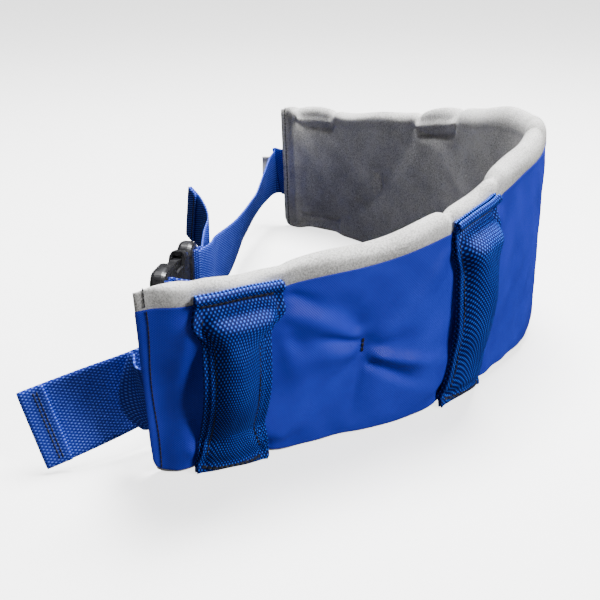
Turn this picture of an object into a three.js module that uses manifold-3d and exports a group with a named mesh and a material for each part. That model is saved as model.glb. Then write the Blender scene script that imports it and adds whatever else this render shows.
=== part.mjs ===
// A padded gait belt: a foam-filled body belt with a fleece lining, four upright webbing handles,
// and a webbing strap at each end that meets in a side-release buckle.
// Millimetres, +Z up. The belt stands on its lower edge, with the origin under the middle of its box.
import * as THREE from "three";
import { mergeVertices } from "three/addons/utils/BufferGeometryUtils.js";
import Module from "manifold-3d";

// Belt body
const BELT_LENGTH = 741;
const BELT_THICKNESS = 16;
const COVER_HEIGHT_END = 122;
const COVER_HEIGHT_BACK = 161;
const ROLL_HEIGHT = 13;
const CLOTH = 1.4;
const COVER_CLOTH = 1.2;
const GAP = 0.3;
const END_SEAM = 16;
const BELT_STEPS = 44;

// Line of the belt on the floor, from its near end, as a start heading and a chain of bends
const START = { x: -101.7, y: -247, heading: 13 };
const BENDS = [
  { from: -10, to: 45, turn: 8.2 },
  { from: 110, to: 255, turn: 29.5 },
  { from: 285, to: 485, turn: 69.4 },
  { from: 480, to: 670, turn: 15.6 },
  { from: 655, to: 745, turn: 30.3 },
];
const LEAN_NEAR = 0.28;
const LEAN_FAR = -0.12;
const LEAN_POWER = 1.5;

// Handles and webbing
const WEBBING_WIDTH = 50;
const WEBBING = 1.8;
const STRAP_ROOT = 12;
const STRAP_PANELS = 5;
const HANDLE_FROM_END = 23.5;
const HANDLE_SPACING = 120;
const HANDLE_FOOT = 1;
const HANDLE_RISE = 6;
const FINGER_GAP = 14;
const PAD_THICKNESS = 9;
const PAD_WIDTH = 36;
const PAD_END_CLEAR = 9;
const HANDLE_ROWS = 18;
const PAD_ROWS = 12;
const WIDTH_STEPS = 4;
const THREAD = 0.8;
const STITCH_SIDE_CLEAR = 3;
const STITCH_FROM_TOP = 5;
const STITCH_FROM_FOOT = 4;

// Buckle, in its own frame: X along the pull, Y across the webbing, Z through the thickness
const BUCKLE_WIDTH = 62;
const BUCKLE_THICKNESS = 13;
const BUCKLE_SHELL = 2.4;
const SOCKET_LENGTH = 42;
const FRAME_LENGTH = 19;
const SLOT = 3.4;
const BAR = 4.4;
const BAR_FRONT = 3;
const SIDE_WALL = 3.4;
const PRONG_WIDTH = 6;
const PRONG_THICKNESS = 6.4;
const BUCKLE_CORNER = 6;
const END_WALL = 3;
const MOUTH_FIT = 0.8;
const MOUTH_RING = 12;
const FINGER_PAD_LENGTH = 16;
const FINGER_PAD_DEPTH = 9;
const WAIST_WIDTH = 43;
const WAIST_SLOPE = 5;
const ARM_CLEAR = 1.5;
const PRONG_CLEAR = 0.5;
const BUCKLE_AT = { x: -109, y: -58, z: 44 };
const BUCKLE_HEADING = 79;

const wasm = await Module();
wasm.setup();

const MATERIALS = {
  cover: { color: 0x1e46c8, roughness: 0.55, metalness: 0 },
  lining: { color: 0xc9c6c2, roughness: 0.95, metalness: 0 },
  foam: { color: 0x8f8f8c, roughness: 1, metalness: 0 },
  webbing: { color: 0x1f45c4, roughness: 0.65, metalness: 0 },
  thread: { color: 0x101014, roughness: 0.8, metalness: 0 },
  label: { color: 0xeeeeea, roughness: 0.6, metalness: 0 },
  plastic: { color: 0x15161a, roughness: 0.35, metalness: 0 },
};

// The plan is drawn round the belt's middle, and then moved so that the origin is under its box.
const BOX_MIDDLE = { x: -0.3, y: -7.2 };
const belt = new THREE.Group();
belt.position.set(-BOX_MIDDLE.x, -BOX_MIDDLE.y, 0);

function addPart(name, geometry, slot, parent = belt) {
  geometry.deleteAttribute("uv");
  geometry.deleteAttribute("normal");
  const welded = mergeVertices(geometry, 1e-3);
  welded.computeVertexNormals();
  const mesh = new THREE.Mesh(welded, new THREE.MeshStandardMaterial(MATERIALS[slot]));
  mesh.name = name;
  parent.add(mesh);
}

// ---- The belt's line, height and lean ----

const smooth = (t) => THREE.MathUtils.smoothstep(t, 0, 1);

function headingAt(s) {
  const turned = BENDS.reduce((sum, b) => sum + b.turn * smooth((s - b.from) / (b.to - b.from)), 0);
  return THREE.MathUtils.degToRad(START.heading + turned);
}

// Points every millimetre along the outer face at the floor.
const LINE = [new THREE.Vector2(START.x, START.y)];
for (let s = 0; s < BELT_LENGTH; s++) {
  const heading = headingAt(s + 0.5);
  LINE.push(LINE[s].clone().add(new THREE.Vector2(Math.cos(heading), Math.sin(heading))));
}

function linePoint(s) {
  const whole = THREE.MathUtils.clamp(Math.floor(s), 0, BELT_LENGTH - 1);
  return LINE[whole].clone().lerp(LINE[whole + 1], s - whole);
}

function stretchAt(s) {
  const rise = Math.sin((Math.PI * Math.min(s, BELT_LENGTH - s)) / BELT_LENGTH) ** 3;
  return 1 + (COVER_HEIGHT_BACK / COVER_HEIGHT_END - 1) * rise;
}

function leanAt(s) {
  return LEAN_FAR + (LEAN_NEAR - LEAN_FAR) * (1 - s / BELT_LENGTH) ** LEAN_POWER;
}

// A place on the belt: s along it, depth in from its outer face, z up it as drawn at its ends.
function onBelt(s, depth, z) {
  const height = z * stretchAt(s);
  const inward = depth - leanAt(s) * height;
  const heading = headingAt(s);
  const foot = linePoint(s);
  return new THREE.Vector3(
    foot.x - Math.sin(heading) * inward,
    foot.y + Math.cos(heading) * inward,
    height,
  );
}

// Draws a section (depth, z), and runs it along the belt from one length to another.
function alongBelt(shape, from, to, steps) {
  const options = { depth: to - from, steps, bevelEnabled: false, curveSegments: 4 };
  const geometry = new THREE.ExtrudeGeometry(shape, options);
  const place = geometry.getAttribute("position");
  for (let i = 0; i < place.count; i++) {
    const p = onBelt(from + place.getZ(i), place.getX(i), place.getY(i));
    place.setXYZ(i, p.x, p.y, p.z);
  }
  return geometry;
}

function rectangle(x0, y0, x1, y1) {
  const shape = new THREE.Shape();
  shape.moveTo(x0, y0);
  shape.lineTo(x1, y0);
  shape.lineTo(x1, y1);
  shape.lineTo(x0, y1);
  return shape;
}

// ---- Belt body ----

const BELT_TOP = COVER_HEIGHT_END + ROLL_HEIGHT;

function liningSection() {
  const inside = BELT_THICKNESS - CLOTH;
  const radius = BELT_THICKNESS / 2;
  const shape = new THREE.Shape();
  shape.moveTo(0, 0);
  shape.lineTo(BELT_THICKNESS, 0);
  shape.lineTo(BELT_THICKNESS, BELT_TOP - radius);
  shape.absarc(radius, BELT_TOP - radius, radius, 0, Math.PI, false);
  shape.lineTo(0, COVER_HEIGHT_END + GAP);
  shape.lineTo(CLOTH, COVER_HEIGHT_END + GAP);
  shape.lineTo(CLOTH, BELT_TOP - radius);
  shape.absarc(radius, BELT_TOP - radius, radius - CLOTH, Math.PI, 0, true);
  shape.lineTo(inside, CLOTH);
  shape.lineTo(0, CLOTH);
  return shape;
}

function foamSection() {
  const skin = CLOTH + GAP;
  const radius = BELT_THICKNESS / 2 - skin;
  const shape = new THREE.Shape();
  shape.moveTo(skin, skin);
  shape.lineTo(BELT_THICKNESS - skin, skin);
  shape.lineTo(BELT_THICKNESS - skin, BELT_TOP - skin - radius);
  shape.absarc(BELT_THICKNESS / 2, BELT_TOP - skin - radius, radius, 0, Math.PI, false);
  return shape;
}

function addBeltBody() {
  const coverSection = rectangle(0, CLOTH + GAP, COVER_CLOTH, COVER_HEIGHT_END);
  addPart("outer_cover", alongBelt(coverSection, 0, BELT_LENGTH, BELT_STEPS), "cover");
  addPart("fleece_lining", alongBelt(liningSection(), 0, BELT_LENGTH, BELT_STEPS), "lining");
  const foamEnd = BELT_LENGTH - END_SEAM;
  addPart("foam_core", alongBelt(foamSection(), END_SEAM, foamEnd, BELT_STEPS - 4), "foam");
}

// Lines of black thread that lie on the cover: the end seams and the tacks through the padding.
function addCoverThread(name, s, width, low, high) {
  const section = rectangle(-GAP - THREAD, low, -GAP, high);
  addPart(name, alongBelt(section, s - width / 2, s + width / 2, 1), "thread");
}

function addCoverThreads() {
  const seamIn = 5;
  const tackAt = HANDLE_FROM_END + WEBBING_WIDTH + HANDLE_SPACING / 2;
  const tackMiddle = 66;
  const tackReach = 6;
  const tackWidth = 2;
  const footClear = 3;
  const topClear = 2;
  const ends = [["near", seamIn, tackAt], ["far", BELT_LENGTH - seamIn, BELT_LENGTH - tackAt]];
  for (const [side, seam, tack] of ends) {
    const seamTop = COVER_HEIGHT_END - topClear;
    addCoverThread(side + "_end_seam_thread", seam, THREAD, footClear, seamTop);
    const [tackLow, tackHigh] = [tackMiddle - tackReach, tackMiddle + tackReach];
    addCoverThread(side + "_tack_thread", tack, tackWidth, tackLow, tackHigh);
  }
}

// ---- Handles ----

const HANDLE_TOP = COVER_HEIGHT_END + HANDLE_RISE;
const SEWN_TOP = 16;
const SEWN_FOOT = 10;

// How far up the free span a height is, from 0 at the lower sewn end to 1 at the upper.
function spanAt(z) {
  const low = HANDLE_FOOT + SEWN_FOOT;
  return THREE.MathUtils.clamp((z - low) / (HANDLE_TOP - SEWN_TOP - low), 0, 1);
}

const rearFace = (z) => GAP + FINGER_GAP * Math.sin(Math.PI * spanAt(z)) ** 2;
const padBack = (z) => rearFace(z) + WEBBING + GAP;
const frontFace = (z) => padBack(z) + PAD_THICKNESS * Math.sin(Math.PI * spanAt(z));

// A side view between two distances out from the cover, from one height to another.
function sideView(near, far, low, high, steps) {
  const heights = Array.from({ length: steps + 1 }, (_, i) => low + ((high - low) * i) / steps);
  const outer = heights.map((z) => new THREE.Vector2(-far(z), z));
  const inner = heights.map((z) => new THREE.Vector2(-near(z), z)).reverse();
  return new THREE.Shape([...inner, ...outer]);
}

function addHandle(name, from) {
  const to = from + WEBBING_WIDTH;
  const rearBack = (z) => rearFace(z) + WEBBING;
  const frontBack = (z) => frontFace(z) + WEBBING;
  const rear = sideView(rearFace, rearBack, HANDLE_FOOT, HANDLE_TOP, HANDLE_ROWS);
  const front = sideView(frontFace, frontBack, HANDLE_FOOT, HANDLE_TOP, HANDLE_ROWS);
  addPart(name + "_rear_webbing", alongBelt(rear, from, to, WIDTH_STEPS), "webbing");
  addPart(name + "_front_webbing", alongBelt(front, from, to, WIDTH_STEPS), "webbing");
  const padLow = HANDLE_FOOT + SEWN_FOOT + PAD_END_CLEAR;
  const padHigh = HANDLE_TOP - SEWN_TOP - PAD_END_CLEAR;
  const padNear = (z) => padBack(z) + GAP;
  const padFar = (z) => frontFace(z) - 2 * GAP;
  const pad = sideView(padNear, padFar, padLow, padHigh, PAD_ROWS);
  const padSide = (WEBBING_WIDTH - PAD_WIDTH) / 2;
  addPart(name + "_pad", alongBelt(pad, from + padSide, to - padSide, WIDTH_STEPS), "foam");
  const stitches = [
    ["_top_stitch", HANDLE_TOP - STITCH_FROM_TOP],
    ["_foot_stitch", HANDLE_FOOT + STITCH_FROM_FOOT],
  ];
  const [stitchFrom, stitchTo] = [from + STITCH_SIDE_CLEAR, to - STITCH_SIDE_CLEAR];
  for (const [suffix, z] of stitches) {
    const surface = frontFace(z) + WEBBING + GAP;
    const section = rectangle(-surface - THREAD, z, -surface, z + THREAD);
    addPart(name + suffix, alongBelt(section, stitchFrom, stitchTo, WIDTH_STEPS), "thread");
  }
}

function addHandles() {
  const second = HANDLE_FROM_END + WEBBING_WIDTH + HANDLE_SPACING;
  const starts = [HANDLE_FROM_END, second];
  const farStarts = starts.map((s) => BELT_LENGTH - s - WEBBING_WIDTH).reverse();
  [...starts, ...farStarts].forEach((from, i) => addHandle("handle_" + (i + 1), from));
}

// ---- Straps ----

// Part of a flat ribbon of webbing on edge, whose route is [x, y, z, tilt in degrees] points.
function ribbon(route, steps, from = 0, to = 1) {
  const curve = new THREE.CatmullRomCurve3(route.map(([x, y, z]) => new THREE.Vector3(x, y, z)));
  const geometry = new THREE.BoxGeometry(1, WEBBING, WEBBING_WIDTH, steps, 1, STRAP_PANELS);
  const place = geometry.getAttribute("position");
  for (let i = 0; i < place.count; i++) {
    const t = THREE.MathUtils.lerp(from, to, place.getX(i) + 0.5);
    const along = curve.getTangent(t);
    const reach = t * (route.length - 1);
    const knot = Math.min(Math.floor(reach), route.length - 2);
    const tilt = THREE.MathUtils.lerp(route[knot][3], route[knot + 1][3], reach - knot);
    const up = new THREE.Vector3(0, 0, 1).projectOnPlane(along).normalize();
    up.applyAxisAngle(along, THREE.MathUtils.degToRad(tilt));
    const side = up.clone().cross(along);
    const p = curve.getPoint(t);
    p.addScaledVector(side, place.getY(i)).addScaledVector(up, place.getZ(i));
    place.setXYZ(i, p.x, p.y, p.z);
  }
  return geometry;
}

// A strap's root, sewn in between the cover and the lining, at a length along the belt.
function root(s, z, turn) {
  const p = onBelt(s, BELT_THICKNESS / 2, z / stretchAt(s));
  return [p.x, p.y, p.z, turn * THREE.MathUtils.radToDeg(leanAt(s))];
}

const NEAR_STRAP = [
  root(STRAP_ROOT, 54, -1),
  root(0, 54, -1),
  [-117, -239, 52, -8],
  [-118, -229, 51, 0],
  [-106, -224, 50, 0],
  [-84, -212, 48, 0],
  [-72, -178, 46, 0],
  [-72, -130, 45, 0],
  [-86, -101, 44, 0],
  [-103, -93, 44, 0],
];
const NEAR_TAIL = [
  [-106, -99.5, 44, 0],
  [-95, -107, 45, 0],
  [-85, -130, 47, 0],
  [-84, -165, 48.5, 0],
  [-92, -194, 48, 0],
  [-112, -212, 43, 0],
  [-144, -228, 35, 0],
  [-176, -239, 25.6, 0],
];
const FAR_STRAP = [
  root(BELT_LENGTH - STRAP_ROOT, 62, 1),
  root(BELT_LENGTH, 62, 1),
  [-37, 249, 61, -4],
  [-46, 225, 58, -8],
  [-53, 185, 54, -14],
  [-61, 130, 47, -18],
  [-72, 60, 42, -8],
  [-83, 10, 43, 0],
  [-86, -14, 44, 0],
  [-92, -27, 44, 0],
];
const FAR_TAIL = [
  [-92.5, -19, 44, 0],
  [-93, 14, 45, 0],
  [-92, 42, 50, 0],
  [-100, 69, 57, 0],
  [-114, 95, 64, 0],
];
const NEAR_TAIL_SPLIT = 0.7;
const FAR_TAIL_SPLIT = 0.5;
const SPLIT = 0.004;

function addStraps() {
  addPart("near_strap", ribbon(NEAR_STRAP, 32), "webbing");
  addPart("near_tail_run", ribbon(NEAR_TAIL, 20, 0, NEAR_TAIL_SPLIT - SPLIT), "webbing");
  addPart("near_tail", ribbon(NEAR_TAIL, 8, NEAR_TAIL_SPLIT + SPLIT, 1), "webbing");
  addPart("far_strap", ribbon(FAR_STRAP, 48), "webbing");
  addPart("far_tail_run", ribbon(FAR_TAIL, 10, 0, FAR_TAIL_SPLIT - SPLIT), "webbing");
  addPart("far_tail", ribbon(FAR_TAIL, 12, FAR_TAIL_SPLIT + SPLIT, 1), "webbing");
}

// ---- Care label, sewn into the far end beside the strap ----

function addCareLabel() {
  const labelWidth = 24;
  const labelHeight = 30;
  const labelThickness = 0.6;
  const labelMiddle = 60;
  const endClear = 1;
  const behindStrap = 7;
  const [x, y] = root(BELT_LENGTH, 0, 1);
  const geometry = new THREE.BoxGeometry(labelWidth, labelThickness, labelHeight);
  geometry.translate(x - endClear - labelWidth / 2, y + behindStrap, labelMiddle);
  addPart("care_label", geometry, "label");
}

// ---- Buckle ----

function solid(geometry) {
  geometry.deleteAttribute("uv");
  geometry.deleteAttribute("normal");
  const welded = mergeVertices(geometry, 1e-3);
  const vertProperties = welded.getAttribute("position").array;
  const triVerts = new Uint32Array(welded.index.array);
  return new wasm.Manifold(new wasm.Mesh({ numProp: 3, vertProperties, triVerts }));
}

function block(x0, x1, halfWidth, low, high) {
  const geometry = new THREE.BoxGeometry(x1 - x0, 2 * halfWidth, high - low);
  return solid(geometry.translate((x0 + x1) / 2, 0, (low + high) / 2));
}

// A plate with rounded corners in plan and rounded long edges.
function plate(x0, x1, width, thickness, corner) {
  const bevel = thickness * 0.28;
  const half = width / 2 - bevel;
  const [low, high] = [x0 + bevel, x1 - bevel];
  const shape = new THREE.Shape();
  shape.moveTo(low + corner, -half);
  shape.absarc(high - corner, -half + corner, corner, -Math.PI / 2, 0, false);
  shape.absarc(high - corner, half - corner, corner, 0, Math.PI / 2, false);
  shape.absarc(low + corner, half - corner, corner, Math.PI / 2, Math.PI, false);
  shape.absarc(low + corner, -half + corner, corner, Math.PI, 1.5 * Math.PI, false);
  const geometry = new THREE.ExtrudeGeometry(shape, {
    depth: thickness - 2 * bevel,
    bevelSize: bevel,
    bevelThickness: bevel,
    bevelSegments: 2,
    curveSegments: 4,
  });
  return solid(geometry.translate(0, 0, bevel - thickness / 2));
}

function geometryOf(manifold) {
  const mesh = manifold.getMesh();
  const geometry = new THREE.BufferGeometry();
  geometry.setAttribute("position", new THREE.BufferAttribute(mesh.vertProperties, 3));
  geometry.setIndex(new THREE.BufferAttribute(mesh.triVerts, 1));
  return geometry;
}

// The webbing adjuster that ends each half: two slots with a bar set back between them.
function withSlots(body, bar) {
  const slotHalf = WEBBING_WIDTH / 2 + 1;
  const edge = BAR / 2 + SLOT;
  const pocket = block(bar - edge, bar + edge, slotHalf, -BUCKLE_THICKNESS, -BAR_FRONT);
  const inner = block(bar + BAR / 2, bar + edge, slotHalf, -BUCKLE_THICKNESS, BUCKLE_THICKNESS);
  const outer = block(bar - edge, bar - BAR / 2, slotHalf, -BUCKLE_THICKNESS, BUCKLE_THICKNESS);
  return body.subtract(pocket).subtract(inner).subtract(outer);
}

const BAR_AT = FRAME_LENGTH / 2 - SIDE_WALL / 2;
const INNER_HALF = BUCKLE_WIDTH / 2 - SIDE_WALL;
const SOCKET_END = FRAME_LENGTH + END_WALL;
const MOUTH = SOCKET_END + SOCKET_LENGTH;
const PRONG_TIP = SOCKET_END + END_WALL;
const MALE_FACE = MOUTH + MOUTH_FIT;
const MALE_END = MALE_FACE + FRAME_LENGTH + END_WALL;
const GUIDE_HALF = 5;

// Cuts the edges of a body back to its waist between two places along the pull.
function withWaist(body, low, high) {
  const edge = BUCKLE_WIDTH / 2 + 1;
  const waist = WAIST_WIDTH / 2;
  const shape = new THREE.Shape();
  shape.moveTo(low, edge);
  shape.lineTo(low + WAIST_SLOPE, waist);
  shape.lineTo(high - WAIST_SLOPE, waist);
  shape.lineTo(high, edge);
  const options = { depth: 2 * BUCKLE_THICKNESS, bevelEnabled: false };
  const upper = new THREE.ExtrudeGeometry(shape, options).translate(0, 0, -BUCKLE_THICKNESS);
  const lower = upper.clone().rotateX(Math.PI);
  return body.subtract(solid(upper)).subtract(solid(lower));
}

function addBuckleFemale(buckle) {
  const frame = plate(0, MOUTH, BUCKLE_WIDTH, BUCKLE_THICKNESS, BUCKLE_CORNER);
  const cavityHalf = BUCKLE_THICKNESS / 2 - BUCKLE_SHELL;
  const socket = block(SOCKET_END, MOUTH + 1, INNER_HALF, -cavityHalf, cavityHalf);
  const [low, high] = [SOCKET_END + END_WALL, MOUTH - MOUTH_RING];
  const windows = block(low, high, BUCKLE_WIDTH, -cavityHalf, cavityHalf);
  const body = withWaist(frame.subtract(socket).subtract(windows), low, high);
  addPart("buckle_female_body", geometryOf(withSlots(body, BAR_AT)), "plastic", buckle);
}

function addBuckleMale(buckle) {
  const frame = plate(MALE_FACE, MALE_END, BUCKLE_WIDTH, BUCKLE_THICKNESS, BUCKLE_CORNER);
  const half = PRONG_THICKNESS / 2;
  const guide = block(PRONG_TIP + 2 * END_WALL, MALE_FACE + 2, GUIDE_HALF, -half, half);
  const body = withSlots(frame.add(guide), MALE_END - BAR_AT);
  addPart("buckle_male_body", geometryOf(body), "plastic", buckle);
}

// A prong: an arm with a round root, a finger pad at its tip, and its outer edge along the socket.
function addProng(buckle, name, side) {
  const outer = INNER_HALF - PRONG_CLEAR;
  const rootX = MALE_FACE - GAP - PRONG_WIDTH / 2;
  const shape = new THREE.Shape();
  const armHalf = PRONG_WIDTH / 2;
  const armOuter = outer - ARM_CLEAR;
  const padEnd = PRONG_TIP + FINGER_PAD_LENGTH;
  shape.moveTo(PRONG_TIP, outer - FINGER_PAD_DEPTH);
  shape.lineTo(padEnd, outer - FINGER_PAD_DEPTH);
  shape.lineTo(padEnd + 5, armOuter - PRONG_WIDTH);
  shape.lineTo(rootX, armOuter - PRONG_WIDTH);
  shape.absarc(rootX, armOuter - armHalf, armHalf, -Math.PI / 2, Math.PI / 2, false);
  shape.lineTo(padEnd + 6, armOuter);
  shape.lineTo(padEnd + 2, outer);
  shape.lineTo(PRONG_TIP + 4, outer);
  shape.lineTo(PRONG_TIP, outer - 3);
  const options = { depth: PRONG_THICKNESS, bevelEnabled: false, curveSegments: 6 };
  const arm = new THREE.ExtrudeGeometry(shape, options).translate(0, 0, -PRONG_THICKNESS / 2);
  if (side < 0) arm.rotateX(Math.PI);
  addPart(name, arm, "plastic", buckle);
}

// Webbing that goes in one slot, round the bar and out of the other.
function addLoop(buckle, name, bar) {
  const reach = (BAR + SLOT) / 2;
  const front = BAR_FRONT + GAP;
  const rear = -BUCKLE_THICKNESS / 2;
  const half = WEBBING / 2;
  const shape = new THREE.Shape();
  shape.moveTo(bar - reach - half, rear);
  shape.lineTo(bar - reach + half, rear);
  shape.lineTo(bar - reach + half, front);
  shape.lineTo(bar + reach - half, front);
  shape.lineTo(bar + reach - half, rear);
  shape.lineTo(bar + reach + half, rear);
  shape.lineTo(bar + reach + half, front + WEBBING - half);
  shape.lineTo(bar + reach - half, front + WEBBING);
  shape.lineTo(bar - reach + half, front + WEBBING);
  shape.lineTo(bar - reach - half, front + WEBBING - half);
  const options = { depth: WEBBING_WIDTH, bevelEnabled: false };
  const loop = new THREE.ExtrudeGeometry(shape, options);
  loop.translate(0, 0, -WEBBING_WIDTH / 2);
  loop.rotateX(-Math.PI / 2);
  addPart(name, loop, "webbing", buckle);
}

function addBuckle() {
  const buckle = new THREE.Group();
  buckle.position.set(BUCKLE_AT.x, BUCKLE_AT.y, BUCKLE_AT.z);
  const stood = new THREE.Matrix4().makeRotationX(Math.PI / 2);
  const turned = new THREE.Matrix4().makeRotationZ(THREE.MathUtils.degToRad(BUCKLE_HEADING));
  buckle.setRotationFromMatrix(turned.multiply(stood));
  const middle = new THREE.Group();
  middle.position.x = -(MALE_END / 2);
  buckle.add(middle);
  belt.add(buckle);
  addBuckleFemale(middle);
  addBuckleMale(middle);
  addProng(middle, "buckle_prong_upper", 1);
  addProng(middle, "buckle_prong_lower", -1);
  addLoop(middle, "near_strap_loop", BAR_AT);
  addLoop(middle, "far_strap_loop", MALE_END - BAR_AT);
}

addBeltBody();
addCoverThreads();
addHandles();
addStraps();
addCareLabel();
addBuckle();

export default belt;
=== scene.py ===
"""A padded gait belt: a foam body with a blue cover and a grey fleece lining, four webbing
handles, and a webbing strap at each end. The straps meet in a side-release buckle.
Metres, +Z up, in the part's frame."""
import math

import bmesh
import bpy
import numpy as np
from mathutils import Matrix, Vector


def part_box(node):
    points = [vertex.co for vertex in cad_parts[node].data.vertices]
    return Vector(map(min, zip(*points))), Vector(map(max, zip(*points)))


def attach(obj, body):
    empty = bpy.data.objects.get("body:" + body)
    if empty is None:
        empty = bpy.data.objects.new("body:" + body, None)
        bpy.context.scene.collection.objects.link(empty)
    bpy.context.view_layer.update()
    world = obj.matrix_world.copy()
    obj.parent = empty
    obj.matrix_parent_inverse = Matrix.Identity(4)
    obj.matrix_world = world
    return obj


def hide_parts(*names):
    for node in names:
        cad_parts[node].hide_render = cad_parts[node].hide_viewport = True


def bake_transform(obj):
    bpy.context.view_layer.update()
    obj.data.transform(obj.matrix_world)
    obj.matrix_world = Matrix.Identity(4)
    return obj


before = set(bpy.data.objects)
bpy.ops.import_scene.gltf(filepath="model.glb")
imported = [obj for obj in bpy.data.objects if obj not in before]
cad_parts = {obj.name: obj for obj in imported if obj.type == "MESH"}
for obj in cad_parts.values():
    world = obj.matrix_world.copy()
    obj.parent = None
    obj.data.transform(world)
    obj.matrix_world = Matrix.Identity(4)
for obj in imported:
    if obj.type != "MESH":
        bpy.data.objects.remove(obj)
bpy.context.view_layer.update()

# ---- Driving dimensions ----

# Belt body, drawn flat: s along it, depth in from its outer face, z up it
BELT_LENGTH = 0.741
BELT_THICKNESS = 0.016
COVER_TOP = 0.122
COVER_FOOT = 0.0025
BELT_TOP = 0.135
BACK_STRETCH = 161 / 122
COVER_CLOTH = 0.0011
ROLL_OVERHANG = 0.0009
FOOT_RADIUS = 0.004
END_SEAM_IN = 0.0045
NEAR_SLANT = 0.0065
NEAR_KICK = 0.0060
EDGE_ROUNDING = 0.35

# The line of the belt on the floor: a start, a heading in degrees, and bends (from, to, turn)
LINE_START = (-0.1014, -0.2398)
START_HEADING = 13
BENDS = [
    (-0.010, 0.045, 8.2),
    (0.110, 0.255, 29.5),
    (0.285, 0.485, 69.4),
    (0.480, 0.670, 15.6),
    (0.655, 0.745, 30.3),
]
LEAN_NEAR = 0.28
LEAN_FAR = -0.12
LEAN_POWER = 1.5

# Handles and webbing
WEBBING_WIDTH = 0.050
WEBBING = 0.0018
HANDLE_STARTS = [0.0235, 0.1885, 0.5025, 0.6675]
HANDLE_TOP = 0.128
HANDLE_FOOT = 0.001
HANDLE_SEWN_TOP = 0.112
HANDLE_SEWN_FOOT = 0.011
FINGER_GAPS = [0.010, 0.004, 0.004, 0.010]
PAD_DEPTH = 0.0120
SHOULDER = 0.013
TUBE_WAISTS = [0.37, 0.22, 0.22, 0.37]
REAR_WAIST = 0.20
TOP_GATHERS = [0.0, 0.14, 0.14, 0.0]
SHIFTED_FEET = [0.213, BELT_LENGTH - 0.213]
FOOT_SHIFT = 0.022
TOP_BAND = 0.0028
TOP_GROOVE = 0.0010
SIDE_FLAP = 0.0016
FOOT_OPENING = 0.0020
FLANGE = 0.0048
TACKS = [0.1335, 0.6075]
TACK_MIDDLE = 0.066
TACK_REACH = 0.006

# Stitches
STITCH = 0.0031
STITCH_STEP = 0.0034
THREAD_RADIUS = 0.00042

HEM = 0.017

PLAN_SHIFT = np.array([0.0003, 0.0072, 0.0])


# ---- The belt's line, height and lean ----

def smooth(t):
    t = np.clip(t, 0.0, 1.0)
    return t * t * (3 - 2 * t)


def bell(x, width):
    return np.exp(-((x / width) ** 2))


def unit(vectors):
    return vectors / (np.linalg.norm(vectors, axis=-1, keepdims=True) + 1e-12)


def from_end(s):
    """How far a place along the belt is from the nearer end."""
    return np.minimum(s, BELT_LENGTH - s)


def heading_at(s):
    turned = sum(turn * smooth((s - a) / (b - a)) for a, b, turn in BENDS)
    return np.radians(START_HEADING + turned)


LINE_STEP = 0.001
LINE_S = np.arange(round(BELT_LENGTH / LINE_STEP) + 1) * LINE_STEP
_turns = heading_at(LINE_S[:-1] + LINE_STEP / 2)
LINE_X = LINE_START[0] + np.concatenate([[0], np.cumsum(np.cos(_turns))]) * LINE_STEP
LINE_Y = LINE_START[1] + np.concatenate([[0], np.cumsum(np.sin(_turns))]) * LINE_STEP


def stretch_at(s):
    near_end = np.clip(from_end(s), 0, None)
    return 1 + (BACK_STRETCH - 1) * np.sin(math.pi * near_end / BELT_LENGTH) ** 3


def lean_at(s):
    left = np.clip(1 - s / BELT_LENGTH, 0, 1)
    return LEAN_FAR + (LEAN_NEAR - LEAN_FAR) * left ** LEAN_POWER - 0.04 * bell(s - 0.37, 0.10)


def on_belt(s, depth, z):
    """The place in the room of a point on the flat belt. Negative depth is out in front of it."""
    s, depth, z = np.broadcast_arrays(np.asarray(s, float), depth, z)
    height = z * stretch_at(s)
    inward = depth - lean_at(s) * height
    heading = heading_at(s)
    over = s - np.clip(s, 0, BELT_LENGTH)
    x = np.interp(s, LINE_S, LINE_X) + over * np.cos(heading) - np.sin(heading) * inward
    y = np.interp(s, LINE_S, LINE_Y) + over * np.sin(heading) + np.cos(heading) * inward
    return np.stack([x, y, height], axis=-1)


# ---- Mesh helpers ----

def new_object(name, data):
    obj = bpy.data.objects.new(name, data)
    bpy.context.scene.collection.objects.link(obj)
    return obj


def smooth_object(name, mesh):
    """A smooth-shaded object made from a mesh."""
    mesh.polygons.foreach_set("use_smooth", [True] * len(mesh.polygons))
    return new_object(name, mesh)


def mesh_object(name, points, faces, cloth=None):
    """A mesh with its faces turned outward. cloth is each point's (across, along) on its fabric."""
    mesh = bpy.data.meshes.new(name)
    mesh.from_pydata([tuple(p) for p in points], [], faces)
    if cloth is not None:
        attribute = mesh.attributes.new("cloth", "FLOAT_VECTOR", "POINT")
        flat = np.zeros((len(points), 3), np.float32)
        flat[:, :2] = cloth
        attribute.data.foreach_set("vector", flat.ravel())
    work = bmesh.new()
    work.from_mesh(mesh)
    bmesh.ops.recalc_face_normals(work, faces=work.faces)
    work.to_mesh(mesh)
    work.free()
    return smooth_object(name, mesh)


def grid_faces(rows, columns, first=0, closed=False):
    faces = []
    for r in range(rows - 1):
        for c in range(columns if closed else columns - 1):
            a = first + r * columns + c
            b = first + r * columns + (c + 1) % columns
            faces.append((a, b, b + columns, a + columns))
    return faces


def rim_of(rows, columns):
    """Indices round the edge of a grid, in order."""
    top = list(range(columns))
    right = [r * columns + columns - 1 for r in range(1, rows)]
    low = [(rows - 1) * columns + c for c in range(columns - 2, -1, -1)]
    left = [r * columns for r in range(rows - 2, 0, -1)]
    return top + right + low + left


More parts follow.
